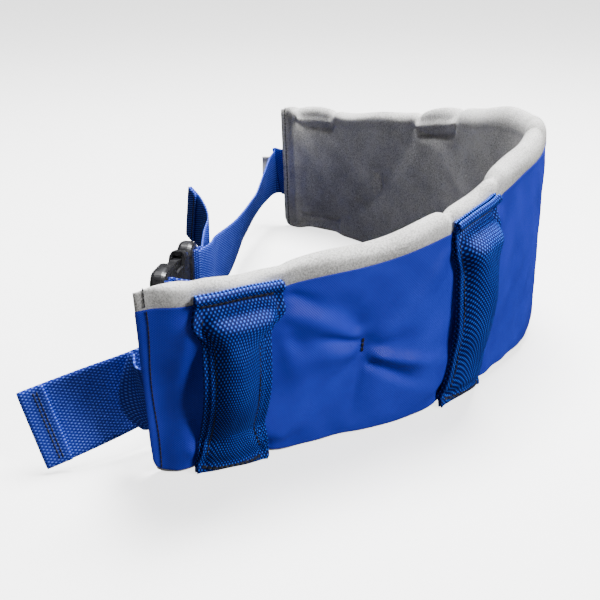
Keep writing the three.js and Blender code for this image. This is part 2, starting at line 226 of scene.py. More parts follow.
def slab(name, front, back, cloth):
    """A closed sheet between two grids of points, with a rounded edge."""
    rows, columns = front.shape[:2]
    count = rows * columns
    rim = rim_of(rows, columns)
    f, b = front.reshape(-1, 3), back.reshape(-1, 3)
    middle = (f[rim] + b[rim]) / 2
    inner = np.roll(middle, 1, axis=0) - np.roll(middle, -1, axis=0)
    through = f[rim] - b[rim]
    out = unit(np.cross(inner, through))
    centre = f.mean(axis=0)
    if np.sum(out * (middle - centre)) < 0:
        out = -out
    thick = np.linalg.norm(through, axis=1, keepdims=True)
    points = np.concatenate([f, b, middle + out * thick * EDGE_ROUNDING])
    flat = cloth.reshape(-1, 2)
    faces = grid_faces(rows, columns) + grid_faces(rows, columns, count)
    for i, at in enumerate(rim):
        j = (i + 1) % len(rim)
        faces.append((at, rim[j], 2 * count + j, 2 * count + i))
        faces.append((2 * count + i, 2 * count + j, count + rim[j], count + at))
    return mesh_object(name, points, faces, np.concatenate([flat, flat, flat[rim]]))


def joined(name, parts):
    """One object made of several, with their shapes and cloth places kept."""
    work = bmesh.new()
    for part in parts:
        work.from_mesh(part.data)
    mesh = bpy.data.meshes.new(name)
    work.to_mesh(mesh)
    work.free()
    for part in parts:
        bpy.data.objects.remove(part)
    return smooth_object(name, mesh)


def finish_piece(obj, material, body=None, replaced=()):
    obj.data.materials.clear()
    obj.data.materials.append(material)
    if body:
        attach(obj, body)
    if replaced:
        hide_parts(*replaced)
    return obj


# ---- Materials ----

class Nodes:
    """Short calls that add shader nodes to one material."""

    def __init__(self, name):
        self.material = bpy.data.materials.new(name)
        self.material.use_nodes = True
        self.tree = self.material.node_tree
        self.shader = self.tree.nodes["Principled BSDF"]

    def put(self, socket, value):
        if isinstance(value, bpy.types.NodeSocket):
            self.tree.links.new(value, socket)
        else:
            socket.default_value = value

    def math(self, operation, a, b=None):
        node = self.tree.nodes.new("ShaderNodeMath")
        node.operation = operation
        self.put(node.inputs[0], a)
        if b is not None:
            self.put(node.inputs[1], b)
        return node.outputs[0]

    def cloth(self):
        """The (across, along) place on the fabric, in metres."""
        node = self.tree.nodes.new("ShaderNodeAttribute")
        node.attribute_name = "cloth"
        split = self.tree.nodes.new("ShaderNodeSeparateXYZ")
        self.tree.links.new(node.outputs["Vector"], split.inputs[0])
        return split.outputs[0], split.outputs[1]

    def noise(self, scale, detail=3.0, roughness=0.55, distortion=0.0):
        place = self.tree.nodes.new("ShaderNodeTexCoord").outputs["Object"]
        node = self.tree.nodes.new("ShaderNodeTexNoise")
        node.inputs["Scale"].default_value = scale
        node.inputs["Detail"].default_value = detail
        node.inputs["Roughness"].default_value = roughness
        node.inputs["Distortion"].default_value = distortion
        self.tree.links.new(place, node.inputs["Vector"])
        return node.outputs["Fac"]

    def span(self, value, low, high, to_low=0.0, to_high=1.0):
        node = self.tree.nodes.new("ShaderNodeMapRange")
        node.interpolation_type = "SMOOTHSTEP"
        for i, v in enumerate([value, low, high, to_low, to_high]):
            self.put(node.inputs[i], v)
        return node.outputs[0]

    def mix(self, share, a, b):
        node = self.tree.nodes.new("ShaderNodeMix")
        node.data_type = "RGBA"
        self.put(node.inputs["Factor"], share)
        self.put(node.inputs["A"], a)
        self.put(node.inputs["B"], b)
        return node.outputs["Result"]

    def bump(self, height, distance, strength=1.0, under=None):
        node = self.tree.nodes.new("ShaderNodeBump")
        node.inputs["Distance"].default_value = distance
        node.inputs["Strength"].default_value = strength
        self.tree.links.new(height, node.inputs["Height"])
        if under is not None:
            self.tree.links.new(under, node.inputs["Normal"])
        return node.outputs["Normal"]

    def set(self, **values):
        for name, value in values.items():
            self.put(self.shader.inputs[name.replace("_", " ")], value)
        return self.material


def waves(nodes, place, period):
    """A wave with its crests one period apart, from -1 to 1."""
    return nodes.math("COSINE", nodes.math("MULTIPLY", place, 2 * math.pi / period))


COVER_WEAVE = 0.0016
BEAD_SPACING = 0.0021
BEAD_ROWS = 0.0040
SATIN_RIB = 0.0009


def cover_material():
    """Royal-blue coated cloth: a fine plain weave with a soft sheen, and a painted highlight in a
    lighter blue on the crests of its weave.
    """
    n = Nodes("cover_cloth")
    across, along = n.cloth()
    weave = n.math("MULTIPLY", waves(n, across, COVER_WEAVE), waves(n, along, COVER_WEAVE))
    slub = n.noise(900, 2)
    worn = n.noise(22, 4)
    tone = n.span(worn, 0.35, 0.7)
    ground = n.mix(tone, (0.018, 0.026, 0.42, 1), (0.026, 0.040, 0.56, 1))
    # Painted highlight: the weave's crests are coloured a lighter blue, standing in for light
    # catching the raised threads.
    thread = n.math("MULTIPLY", n.span(weave, -0.3, 0.8), 0.45)
    color = n.mix(thread, ground, (0.050, 0.090, 0.76, 1))
    normal = n.bump(weave, 0.00014, 0.7, n.bump(slub, 0.00010, 0.3))
    rough = n.span(worn, 0.3, 0.7, 0.46, 0.58)
    return n.set(Base_Color=color, Roughness=rough, Normal=normal, Specular_IOR_Level=0.24)


def webbing_material(name, dark, light):
    """Heavy woven webbing: rows of raised beads across the width, staggered from row to row,
    lighter than the ground partly by the weave's own colour and partly by a painted highlight.
    """
    n = Nodes(name)
    across, along = n.cloth()
    rows = waves(n, along, BEAD_ROWS)
    staggered = n.math("MULTIPLY", waves(n, across, BEAD_SPACING), rows)
    beads = n.math("MULTIPLY", staggered, n.math("ABSOLUTE", rows))
    fibre = n.noise(1400, 2)
    # The beads' lighter colour is partly the weave's own pattern and partly a painted highlight on
    # their raised tops.
    bead_pattern_and_highlight = n.span(beads, -0.05, 0.65)
    worn = n.span(n.noise(60, 3), 0.35, 0.7)
    top = n.mix(worn, (light[0] * 0.7, light[1] * 0.75, light[2] * 0.85, 1), light)
    color = n.mix(bead_pattern_and_highlight, dark, top)
    height = n.math("ADD", beads, n.math("MULTIPLY", fibre, 0.4))
    return n.set(Base_Color=color, Roughness=n.span(bead_pattern_and_highlight, 0, 1, 0.65, 0.50),
                 Normal=n.bump(height, 0.00022, 0.8), Specular_IOR_Level=0.18)


def fleece_material():
    """Grey brushed fleece: a short soft pile with flecks in it."""
    n = Nodes("fleece")
    pile = n.noise(1500, 4, 0.7)
    fleck = n.noise(900, 4, 0.75)
    cloud = n.noise(26, 4)
    tone = n.math("ADD", n.math("MULTIPLY", fleck, 0.75), n.math("MULTIPLY", cloud, 0.25))
    color = n.mix(n.span(tone, 0.38, 0.60), (0.33, 0.325, 0.315, 1), (0.74, 0.732, 0.72, 1))
    normal = n.bump(pile, 0.0005, 0.6, n.bump(fleck, 0.0009, 0.45))
    return n.set(Base_Color=color, Roughness=0.95, Normal=normal, Sheen_Weight=0.1,
                 Sheen_Roughness=0.6, Specular_IOR_Level=0.12)


def thread_material():
    n = Nodes("thread")
    twist = n.noise(2500, 2)
    color = n.mix(n.span(twist, 0.3, 0.7), (0.006, 0.006, 0.008, 1), (0.03, 0.03, 0.036, 1))
    return n.set(Base_Color=color, Roughness=0.6, Normal=n.bump(twist, 0.0001, 0.5))


def plastic_material():
    """Black moulded acetal: glossy, with fine handling scratches."""
    n = Nodes("buckle_plastic")
    grain = n.noise(380, 3)
    scratch = n.noise(90, 5, 0.7, distortion=1.5)
    color = n.mix(n.span(scratch, 0.5, 0.75), (0.012, 0.012, 0.014, 1), (0.035, 0.036, 0.04, 1))
    rough = n.span(scratch, 0.35, 0.7, 0.22, 0.42)
    return n.set(Base_Color=color, Roughness=rough, Normal=n.bump(grain, 0.00006, 0.5),
                 Specular_IOR_Level=0.6)


def label_material():
    n = Nodes("label_satin")
    rib = waves(n, n.cloth()[1], SATIN_RIB)
    color = n.mix(n.span(rib, -1, 1), (0.90, 0.89, 0.87, 1), (0.97, 0.965, 0.955, 1))
    normal = n.bump(rib, 0.00005, 0.4)
    return n.set(Base_Color=color, Roughness=0.45, Normal=normal, Sheen_Weight=0.3)


FLOOR_GLOW = 2.2


def floor_material():
    n = Nodes("floor")
    tone = n.noise(3, 2)
    color = n.mix(tone, (0.86, 0.86, 0.86, 1), (0.89, 0.89, 0.89, 1))
    return n.set(Base_Color=color, Roughness=0.8, Specular_IOR_Level=0.1,
                 Emission_Color=(1, 1, 1, 1), Emission_Strength=FLOOR_GLOW)


COVER = cover_material()
# The light colour is partly the webbing's own bead colour and partly a painted highlight on the
# beads.
WEB = webbing_material("webbing", (0.002, 0.004, 0.085, 1), (0.030, 0.165, 1.0, 1))
# The straps' webbing is the handle webbing made lighter: painted light that brightens the straps,
# their tails and buckle loops.
LIGHTENED_STRAP_WEB = webbing_material("strap_webbing", (0.010, 0.022, 0.30, 1), (0.140, 0.25, 1.0, 1))
FLEECE = fleece_material()
BLACK_THREAD = thread_material()
PLASTIC = plastic_material()
LABEL = label_material()


# ---- The padded body ----

SIM_COLUMNS = 149
SIM_HALF = 32
FINE_COLUMNS = 331
FINE_HALF = 112
HALF = BELT_THICKNESS / 2
ROLL_CENTRE = BELT_TOP - HALF
ROLL_FOOT = 0.118
SIM_SLACK = 0.84
SIM_REACH = 0.0020
SIM_FRAMES = 20
SIM_PRESSURE = 4.0
HELD_BELOW = 0.62


def half_section(count):
    """Half of the body's outline from its foot to its top, as half thicknesses and heights."""
    flat = HALF - FOOT_RADIUS
    stretches = [flat, FOOT_RADIUS * math.pi / 2, ROLL_CENTRE - FOOT_RADIUS, HALF * math.pi / 2]
    ends = np.cumsum(stretches)
    run = (np.arange(count) + 0.5) / count * ends[-1]
    foot = (run - ends[0]) / FOOT_RADIUS
    roll = (run - ends[2]) / HALF
    where = [run < end for end in ends[:3]]
    widths = [run, flat + FOOT_RADIUS * np.sin(foot), HALF + 0 * run]
    w = np.select(where, widths, HALF * np.cos(roll))
    heights = [0 * run, FOOT_RADIUS * (1 - np.cos(foot)), FOOT_RADIUS + run - ends[1]]
    z = np.select(where, heights, ROLL_CENTRE + HALF * np.sin(roll))
    return w, z


def beside_handle(s, edge=0.003):
    """1 where a handle is sewn on, 0 elsewhere."""
    return sum(
        smooth((s - a + edge) / (2 * edge)) * smooth((a + WEBBING_WIDTH + edge - s) / (2 * edge))
        for a in HANDLE_STARTS
    )


# Short creases across the roll, where the handles' sewing ends and the belt bends: (place, depth)
ROLL_PUCKERS = [(0.023, 0.3), (0.0765, 0.3), (0.188, 0.8), (0.241, 1), (0.340, 1.1), (0.499, 0.7),
                (0.554, 0.8), (0.665, 0.7), (0.7195, 0.4)]


def pinch_at(s, z):
    """How much of its full thickness the body keeps."""
    end = from_end(s)
    kept = 0.30 + 0.70 * smooth((end - 0.004) / 0.013)
    sewn = beside_handle(s)
    kept = kept * (1 - 0.50 * sewn * bell(z - 0.1185, 0.0045))
    kept = kept * (1 - 0.55 * sewn * bell(z - 0.0075, 0.0060))
    for tack in TACKS:
        off = np.hypot(s - tack, np.clip(np.abs(z - TACK_MIDDLE) - TACK_REACH * 0.7, 0, None))
        kept = kept * (1 - 0.62 * np.exp(-off / 0.0055) - 0.12 * np.exp(-off / 0.030))
    above = smooth((z - ROLL_FOOT) / 0.010)
    for at, deep in ROLL_PUCKERS:
        kept = kept * (1 - 0.30 * deep * above * bell(s - at, 0.0030))
    return kept * (1 - 0.12 * above * sewn)


def lift_at(s, z):
    """How far a place on the body moves up: rounded lower corners, dips where the roll puckers."""
    end = from_end(s)
    corner = 0.009
    inside = np.clip(corner - end, 0, corner)
    lift = (corner - np.sqrt(corner**2 - inside**2)) * smooth((0.03 - z) / 0.03)
    top = smooth((z - 0.110) / 0.025)
    lift = lift - 0.0035 * top * bell(end, 0.006)
    for at, deep in ROLL_PUCKERS:
        lift = lift - 0.0032 * deep * top * bell(s - at, 0.0040)
    lift = lift - 0.0010 * top * beside_handle(s, 0.006) + 0.0010 * top * np.sin(s * 74 + 0.6)
    sewn_foot = beside_handle(s, 0.010)
    return lift + 0.0028 * sewn_foot * smooth((0.030 - z) / 0.03)


def slant_at(s, z):
    """How far a place moves along the belt: the near end's top reaches out past its foot, and the
    foot under handles 2 and 3 shifts toward the belt's middle."""
    up = np.clip(z / BELT_TOP, 0, 1)
    feet = bell(s - SHIFTED_FEET[0], 0.045) - bell(s - SHIFTED_FEET[1], 0.045)
    return -NEAR_SLANT * up * bell(s, 0.014) + FOOT_SHIFT * (1 - up) * feet


def kick_at(s, z):
    """How far the near end's foot stands out in front, where it rests on the floor."""
    return NEAR_KICK * smooth((0.12 - s) / 0.07) * smooth((0.06 - z) / 0.06)


def body_points(columns, half, slack):
    """The body drawn flat, as a grid of (s, depth, z): along the belt, and round each section from
    the foot up the front and down the back. Also each place's height before it's lifted."""
    w, z = half_section(half)
    s = np.linspace(0, BELT_LENGTH, columns)[:, None]
    height = z[None, :] + 0 * s
    under = smooth((COVER_TOP + 0.002 - height) / 0.004)
    overhang = ROLL_OVERHANG / HALF
    front_full = 1 + overhang * smooth((height - ROLL_FOOT) / 0.006) - under * COVER_CLOTH / HALF
    back_full = 1 + overhang * smooth((height - ROLL_FOOT) / 0.008)
    kept = pinch_at(s, height) * slack
    lifted = height + lift_at(s, height)
    along = s + slant_at(s, height)
    middle = HALF - kick_at(s, height)
    front = np.stack([along, middle - w * kept * front_full, lifted], axis=-1)
    back = np.stack([along, middle + w * kept * back_full, lifted], axis=-1)
    return np.concatenate([front, back[:, ::-1]], axis=1), height


def closed_tube_faces(columns, around):
    faces = grid_faces(columns, around, closed=True)
    half = around // 2
    for column in (0, columns - 1):
        first = column * around
        for j in range(half - 1):
            faces.append((first + j, first + j + 1, first + around - 2 - j, first + around - 1 - j))
    return faces


def inflate(points, faces, held):
    """Blows a closed cloth up with some of its points held, and gives its new points."""
    obj = mesh_object("inflating", points, faces)
    group = obj.vertex_groups.new(name="held")
    group.add([int(i) for i in np.flatnonzero(held)], 1.0, "REPLACE")
    cloth = obj.modifiers.new("Cloth", "CLOTH")
    settings = cloth.settings
    settings.quality = 6
    settings.mass = 0.25
    settings.tension_stiffness = 18
    settings.compression_stiffness = 18
    settings.shear_stiffness = 8
    settings.bending_stiffness = 0.6
    settings.shrink_min = -0.035
    settings.use_pressure = True
    settings.uniform_pressure_force = SIM_PRESSURE
    settings.vertex_group_mass = "held"
    settings.effector_weights.gravity = 0
    cloth.collision_settings.use_collision = False
    scene = bpy.context.scene
    for number in range(1, SIM_FRAMES + 1):
        scene.frame_set(number)
    shown = obj.evaluated_get(bpy.context.evaluated_depsgraph_get())
    result = np.zeros(len(points) * 3)
    shown.data.vertices.foreach_get("co", result)
    scene.frame_set(1)
    bpy.data.objects.remove(obj)
    return result.reshape(-1, 3)


def simulated_moves():
    """How far each place of the coarse flat body moves when its padding fills it."""
    grid, height = body_points(SIM_COLUMNS, SIM_HALF, SIM_SLACK)
    around = grid.shape[1]
    both = np.concatenate([height, height[:, ::-1]], axis=1)
    s = np.linspace(0, BELT_LENGTH, SIM_COLUMNS)[:, None] + 0 * both
    kept = pinch_at(s, both)
    end = from_end(s)
    held = (kept < HELD_BELOW) | (end < 0.007)
    points = inflate(grid.reshape(-1, 3), closed_tube_faces(SIM_COLUMNS, around), held.ravel())
    moves = points.reshape(grid.shape) - grid
    length = np.linalg.norm(moves, axis=-1, keepdims=True)
    return moves * np.minimum(1, SIM_REACH / np.maximum(length, 1e-9))


def resampled(moves, columns, half):
    """The coarse moves at every place of the fine grid."""
    coarse_s = np.linspace(0, 1, moves.shape[0])
    fine_s = np.linspace(0, 1, columns)
    around = moves.shape[1]
    coarse_q = (np.arange(around) + 0.5) / around
    fine_q = (np.arange(2 * half) + 0.5) / (2 * half)
    out = np.zeros((columns, 2 * half, 3))
    for axis in range(3):
        part = np.stack([np.interp(fine_s, coarse_s, moves[:, j, axis]) for j in range(around)], 1)
        out[:, :, axis] = np.stack([np.interp(fine_q, coarse_q, row) for row in part], 0)
    for _ in range(14):
        out[1:-1] = (out[:-2] + 2 * out[1:-1] + out[2:]) / 4
        out = (np.roll(out, 1, axis=1) + 2 * out + np.roll(out, -1, axis=1)) / 4
    return out


def ridge(s, z, start, end, width, height):
    """A fold that runs from start to end in (s, z), narrow at its start and wide at its end."""
    ds, dz = end[0] - start[0], end[1] - start[1]
    length = math.hypot(ds, dz)
    along = ((s - start[0]) * ds + (z - start[1]) * dz) / length**2
    across = ((s - start[0]) * dz - (z - start[1]) * ds) / length
    taper = smooth(along / 0.18) * smooth((1 - along) / 0.65)
    return height * taper * bell(across, width * (0.55 + 0.9 * np.clip(along, 0, 1)))


def mirrored(fold):
    (s0, z0), (s1, z1), width, height = fold
    return (BELT_LENGTH - s0, z0), (BELT_LENGTH - s1, z1), width, height


# Folds in the cover, each (start, end, width, height); the near half's, which the far half mirrors
T = TACKS[0]
NEAR_FOLDS = [
    ((T, 0.063), (T + 0.066, 0.028), 0.0044, 0.0042),
    ((T, 0.057), (T + 0.052, 0.018), 0.0036, -0.0040),
    ((T + 0.002, 0.069), (T + 0.052, 0.086), 0.0090, 0.0016),
    ((T + 0.002, 0.066), (T + 0.044, 0.060), 0.0050, -0.0012),
    ((T - 0.002, 0.076), (T - 0.026, 0.112), 0.0085, -0.0026),
    ((T, 0.071), (T - 0.050, 0.104), 0.0055, 0.0020),
    ((T, 0.068), (T - 0.046, 0.086), 0.0036, -0.0030),
    ((T, 0.063), (T - 0.056, 0.070), 0.0060, 0.0018),
    ((T, 0.060), (T - 0.040, 0.036), 0.0060, -0.0010),
    ((T, 0.058), (T - 0.004, 0.010), 0.0022, -0.0013),
    ((0.0745, 0.120), (0.120, 0.090), 0.0048, -0.0030),
    ((0.0745, 0.106), (0.124, 0.076), 0.0070, 0.0026),
    ((0.0745, 0.092), (0.108, 0.062), 0.0055, -0.0016),
    ((0.0745, 0.098), (0.094, 0.034), 0.0060, 0.0022),
    ((0.0745, 0.010), (0.106, 0.036), 0.0070, 0.0020),
    ((0.188, 0.118), (0.158, 0.072), 0.0080, 0.0022),
    ((0.188, 0.010), (0.162, 0.045), 0.0080, 0.0018),
    ((0.0225, 0.118), (0.014, 0.040), 0.0045, 0.0026),
    ((0.0225, 0.008), (0.015, 0.070), 0.0045, 0.0020),
    ((0.241, 0.118), (0.258, 0.060), 0.0070, 0.0012),
    ((0.241, 0.010), (0.266, 0.060), 0.0070, 0.0012),
]
FOLDS = NEAR_FOLDS + [mirrored(f) for f in NEAR_FOLDS]


def folds_at(s, z):
    total = sum(ridge(s, z, *fold) for fold in FOLDS)
    ripple = 0.0005 * np.sin(s * 210 + 2.2 * np.sin(z * 60)) * np.sin(z * 95 + s * 34 + 1)
    end = from_end(s)
    return (total + ripple) * smooth((end - 0.006) / 0.012) * smooth((COVER_TOP - z) / 0.010)


def lining_folds_at(s, z):
    """Gentle creases of the lining, from its tacks and from its inside bend."""
    total = 0.0004 * np.sin(s * 150 + 1.7 * np.sin(z * 45)) * np.sin(z * 80 + s * 22)
    for tack in TACKS:
        side = s - tack
        total = total + 0.0012 * bell(side - 0.010, 0.010) * bell(z - 0.05, 0.040)
        total = total - 0.0010 * bell(side + 0.014, 0.008) * bell(z - 0.075, 0.045)
    tight = bell(s - 0.385, 0.075)
    return total + 0.0009 * tight * np.sin(s * 2 * math.pi / 0.034) * bell(z - 0.07, 0.05)


CREASE_WIDTH = 0.0016
TOP_CREASE = 0.0072
FOOT_CREASE = 0.0060
TACK_SLIT = 0.0040


def lining_creases_at(s, z):
    """Deep creases of the lining, under each sewn handle end and at each tack."""
    total = 0.0
    for start in HANDLE_STARTS:
        side = (s - start - WEBBING_WIDTH / 2) / (WEBBING_WIDTH / 2 + 0.003)
        within = smooth((1.04 - np.abs(side)) / 0.10)
        hook = np.clip(np.abs(side), 0, 1.05) ** 8
        top = np.exp(-np.abs(z - 0.1140 - 0.0085 * hook) / CREASE_WIDTH)
        foot = np.exp(-np.abs(z - 0.0150 - 0.0045 * hook) / CREASE_WIDTH)
        total = total + within * (TOP_CREASE * top + FOOT_CREASE * foot)
        total = total - 0.0038 * within * bell(z - 0.1205 - 0.006 * hook, 0.0042)
    for tack in TACKS:
        slit = smooth((0.013 - np.abs(z - TACK_MIDDLE)) / 0.005)
        total = total + TACK_SLIT * slit * np.exp(-np.abs(s - tack) / 0.0022)
    return total


def fine_body():
    grid, height = body_points(FINE_COLUMNS, FINE_HALF, SIM_SLACK)
    grid = grid + resampled(simulated_moves(), FINE_COLUMNS, FINE_HALF)
    s = np.linspace(0, BELT_LENGTH, FINE_COLUMNS)[:, None] + 0 * grid[:, :, 0]
    front, back = slice(0, FINE_HALF), slice(FINE_HALF, 2 * FINE_HALF)
    covered = smooth((COVER_TOP - height) / 0.006)
    grid[:, front, 1] -= folds_at(s[:, front], height) * covered
    inner_height = height[:, ::-1]
    inside = smooth((0.112 - inner_height) / 0.02) * smooth((inner_height - 0.010) / 0.02)
    grid[:, back, 1] += lining_folds_at(s[:, back], inner_height) * inside
    grid[:, back, 1] -= lining_creases_at(s[:, back], inner_height)
    grid[:, :, 2] = np.maximum(grid[:, :, 2], 0.0002)
    return grid, height


BODY_GRID, BODY_HEIGHT = fine_body()
FRONT = BODY_GRID[:, :FINE_HALF]
COVER_ROWS = [j for j in range(FINE_HALF) if COVER_FOOT < BODY_HEIGHT[0, j] < COVER_TOP]


def front_depth(s, z):
    """How deep the cover's outer face lies at a place on it."""
    column = np.asarray(s, float) / BELT_LENGTH * (FINE_COLUMNS - 1)
    column = np.clip(column, 0, FINE_COLUMNS - 1.001)
    low = np.floor(column).astype(int)
    part = column - low
    heights = BODY_HEIGHT[0, :FINE_HALF]
    row = np.interp(z, heights, np.arange(FINE_HALF))
    below = np.clip(np.floor(row).astype(int), 0, FINE_HALF - 2)
    up = row - below
    depth = FRONT[:, :, 1]
    near = depth[low, below] * (1 - up) + depth[low, below + 1] * up
    far = depth[low + 1, below] * (1 - up) + depth[low + 1, below + 1] * up
    return near * (1 - part) + far * part - COVER_CLOTH * 1.15


def on_cover(s, z, out=0.0):
    """A point that far out from the cover's outer face."""
    return on_belt(s + slant_at(s, z), front_depth(s, z) - out, z + lift_at(s, z))


def make_lining():
    around = 2 * FINE_HALF
    points = on_belt(BODY_GRID[:, :, 0], BODY_GRID[:, :, 1], BODY_GRID[:, :, 2]).reshape(-1, 3)
    round_it = np.arange(around) / around * (2 * BELT_TOP + 2 * BELT_THICKNESS)
    cloth = np.stack([np.tile(round_it, FINE_COLUMNS), np.repeat(BODY_GRID[:, 0, 0], around)], -1)
    obj = mesh_object("fleece_body", points, closed_tube_faces(FINE_COLUMNS, around), cloth)
    finish_piece(obj, FLEECE, "belt", ["fleece_lining", "foam_core"])
    return obj


def make_cover():
    grid = FRONT[:, COVER_ROWS]
    tuck = smooth((BODY_HEIGHT[:, COVER_ROWS] - COVER_TOP + 0.003) / 0.003) * COVER_CLOTH * 0.5
    outer = on_belt(grid[:, :, 0], grid[:, :, 1] - COVER_CLOTH * 1.15 + tuck, grid[:, :, 2])
    inner = on_belt(grid[:, :, 0], grid[:, :, 1] - COVER_CLOTH * 0.15, grid[:, :, 2])
    z = BODY_HEIGHT[:, COVER_ROWS]
    cloth = np.stack([grid[:, :, 0], z * stretch_at(grid[:, :, 0])], axis=-1)
    obj = slab("cover", outer, inner, cloth)
    finish_piece(obj, COVER, "belt", ["outer_cover"])
    return obj


# ---- Stitching ----

STITCH_SIDES = 6
# A stitch's rings: how far along it, how far out and how fat each is
STITCH_RINGS = [(0.0, -0.3, 0.55), (0.14, 0.2, 0.9), (0.5, 0.55, 1.0), (0.86, 0.2, 0.9),
                (1.0, -0.3, 0.55)]


def run_along(points):
    """How far along a line of points each one is."""
    return np.concatenate([[0], np.cumsum(np.linalg.norm(np.diff(points, axis=0), axis=1))])


def place_at(at, run, points):
    return np.array([np.interp(at, run, points[:, k]) for k in range(3)])


def stitch_row(points, outs):
    """Short raised stitches along a line of points, each dipping into the cloth at its ends."""
    points, outs = np.asarray(points), np.asarray(outs)
    run = run_along(points)
    count = max(1, int(run[-1] / STITCH_STEP))
    spare = (run[-1] - count * STITCH_STEP) / 2
    verts, faces = [], []
    for i in range(count):
        start = spare + i * STITCH_STEP + (STITCH_STEP - STITCH) / 2
        first = len(verts)
        for share, rise, fat in STITCH_RINGS:
            at = start + share * STITCH
            centre = place_at(at, run, points)
            out = place_at(at, run, outs)
            along = unit(place_at(at + 0.0005, run, points) - place_at(at - 0.0005, run, points))
            out = unit(out - along * out.dot(along))
            side = np.cross(along, out)
            middle = centre + out * THREAD_RADIUS * rise
            for k in range(STITCH_SIDES):
                angle = 2 * math.pi * k / STITCH_SIDES
                turn = out * math.cos(angle) + side * math.sin(angle)
                verts.append(middle + turn * THREAD_RADIUS * fat)
        faces += grid_faces(len(STITCH_RINGS), STITCH_SIDES, first, closed=True)
        faces.append(tuple(range(first, first + STITCH_SIDES)))
        faces.append(tuple(reversed(range(len(verts) - STITCH_SIDES, len(verts)))))
    return verts, faces


def stitches(name, rows, body, replaced=()):
    """One piece of black thread, made of rows of stitches. A row is (points, ways out of it)."""
    verts, faces = [], []
    for points, outs in rows:
        more, turned = stitch_row(points, outs)
        faces += [tuple(i + len(verts) for i in f) for f in turned]
        verts += more
    return finish_piece(mesh_object(name, verts, faces), BLACK_THREAD, body, replaced)


def cover_row(s, z, out=0.0002):
    """A row of points on the cover, with the directions out of it."""
    points = on_cover(s, z, out)
    return points, on_cover(s, z, out + 0.002) - points


def make_body_stitches():
    steps = 60
    for side, seam, tack in zip(("near", "far"), (END_SEAM_IN, BELT_LENGTH - END_SEAM_IN), TACKS):
        z = np.linspace(0.004, COVER_TOP - 0.0002, steps)
        wander = 0.0006 * np.sin(z * 70)
        s = np.full(steps, seam) + wander
        rows = [cover_row(s, z), roll_row(seam)]
        stitches(side + "_end_seam", rows, "belt", [side + "_end_seam_thread"])
        z = np.linspace(TACK_MIDDLE - TACK_REACH, TACK_MIDDLE + TACK_REACH, 20)
        rows = [cover_row(np.full(20, tack + shift), z, 0.0003) for shift in (-0.0004, 0.0004)]
        stitches(side + "_tack", rows, "belt", [side + "_tack_thread"])


def roll_row(s):
    """A row of points over the roll at the top of the body, from the cover to the inside."""
    column = int(round(s / BELT_LENGTH * (FINE_COLUMNS - 1)))
    first = COVER_ROWS[-1] + 1
    last = 2 * FINE_HALF - 4
    section = BODY_GRID[column, first:last]
    points = on_belt(section[:, 0], section[:, 1], section[:, 2])
    inner = on_belt(section[:, 0], section[:, 1] * 0 + HALF, np.minimum(section[:, 2], ROLL_CENTRE))
    outs = points - inner
    return points + unit(outs) * 0.0005, outs


# ---- Handles ----

def span_at(z):
    return np.clip((z - HANDLE_SEWN_FOOT) / (HANDLE_SEWN_TOP - HANDLE_SEWN_FOOT), 0, 1)


def drawn_in(z):
    """How far a handle's webbing is drawn in by the tube that it's cupped round, from 0 to 1."""
    return smooth((HANDLE_TOP - 0.018 - z) / 0.016) * (1 - 0.75 * smooth((0.034 - z) / 0.032))


def free_bow(z):
    """0 at a handle's sewn ends and 1 halfway along its free span."""
    return np.sin(math.pi * span_at(z)) ** 2


def bulge_at(z):
    """How far the padded front stands off the rear webbing at its middle, full at its shoulder."""
    below = np.clip((HANDLE_TOP - 0.0085 - z) / SHOULDER, 0, 1)
    shoulder = 1 - (1 - below) ** 1.6
    foot = 0.42 + 0.58 * smooth((z - HANDLE_SEWN_FOOT) / 0.080)
    shut = smooth((z - HANDLE_FOOT) / 0.005)
    return PAD_DEPTH * shoulder * foot * shut


def foot_flare(x, z):
    """The loose end below the foot stitches, which stands away from the cover."""
    open_end = 0.75 + 0.25 * np.cos(math.pi * x / WEBBING_WIDTH)
    return FOOT_OPENING * open_end * smooth((HANDLE_SEWN_FOOT - z) / HANDLE_SEWN_FOOT)


def handle_rows():
    """Heights of the rows of a handle, close together near its sewn ends."""
    share = np.linspace(0, 1, 96)
    eased = share - 0.6 * np.sin(2 * math.pi * share) / (2 * math.pi)
    return HANDLE_FOOT + (HANDLE_TOP - HANDLE_FOOT) * np.clip(eased, 0, 1)


def sewn_share(z):
    """1 where the webbing is sewn flat on the cover, 0 along the free span."""
    top = smooth((z - 0.106) / 0.009)
    foot = smooth((0.017 - z) / 0.009)
    return np.clip(top + foot, 0, 1)


def rear_surface(number, x, z):
    """How far out the rear webbing's inner face is."""
    s = HANDLE_STARTS[number - 1] + WEBBING_WIDTH / 2 + x
    cover = -front_depth(s, np.clip(z, 0.004, COVER_TOP - 0.0005)) + 0.0004
    free = 0.0004 + FINGER_GAPS[number - 1] * free_bow(z)
    sewn = sewn_share(z)
    return np.maximum(cover, cover * sewn + free * (1 - sewn)) + foot_flare(x, z)


def cross_bulge(x, z):
    """The tube's section: nearly square at its shoulder, round below it."""
    half = WEBBING_WIDTH / 2 - FLANGE
    square = smooth((z - 0.080) / 0.025)
    return np.clip(1 - (np.abs(x) / half) ** (2.1 + 2.4 * square), 0, 1) ** 0.72


def front_surface(number, x, z):
    """How far out the front webbing's inner face is."""
    band = TOP_BAND * bell(z - (HANDLE_TOP - 0.0026), 0.0030)
    groove = TOP_GROOVE * bell(z - (HANDLE_TOP - 0.0070), 0.0013)
    flap = SIDE_FLAP * smooth((np.abs(x) - 0.0205) / 0.004) * bell(z - (HANDLE_TOP - 0.020), 0.012)
    off = rear_surface(number, x, z) + WEBBING + 0.0002
    return off + bulge_at(z) * cross_bulge(x, z) + band - groove + flap


